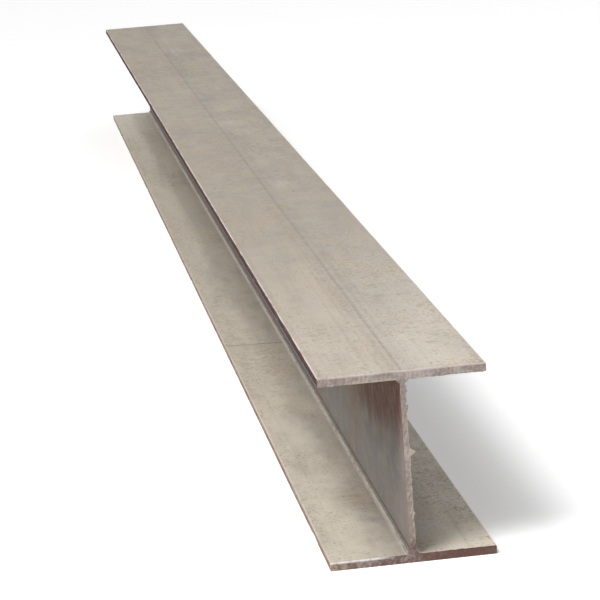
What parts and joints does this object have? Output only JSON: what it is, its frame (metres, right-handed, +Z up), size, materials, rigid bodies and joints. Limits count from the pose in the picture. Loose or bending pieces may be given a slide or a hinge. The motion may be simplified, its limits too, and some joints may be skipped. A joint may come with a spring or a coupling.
{
  "type": "steel h-beam",
  "caption": "Built-up steel H-beam: a web plate and two flange plates fused by four full-length fillet welds, sawn square to a stock length, carrying mill scale and light rust.",
  "frame": {"origin": "underside of the bottom flange, at the middle of its width and of the beam's length", "axes": "+Y along the beam, +X across the flanges, +Z up through the web; the end that the picture shows is at -Y"},
  "size_m": [0.3, 6, 0.35],
  "materials": {
    "mill_scale_steel": "weathered mill scale on plate, dull warm grey, with pale weld seams, light brown rust and bare sawn ends"
  },
  "bodies": {
    "root": {"h_beam": "mill_scale_steel"}
  },
  "joints": []
}
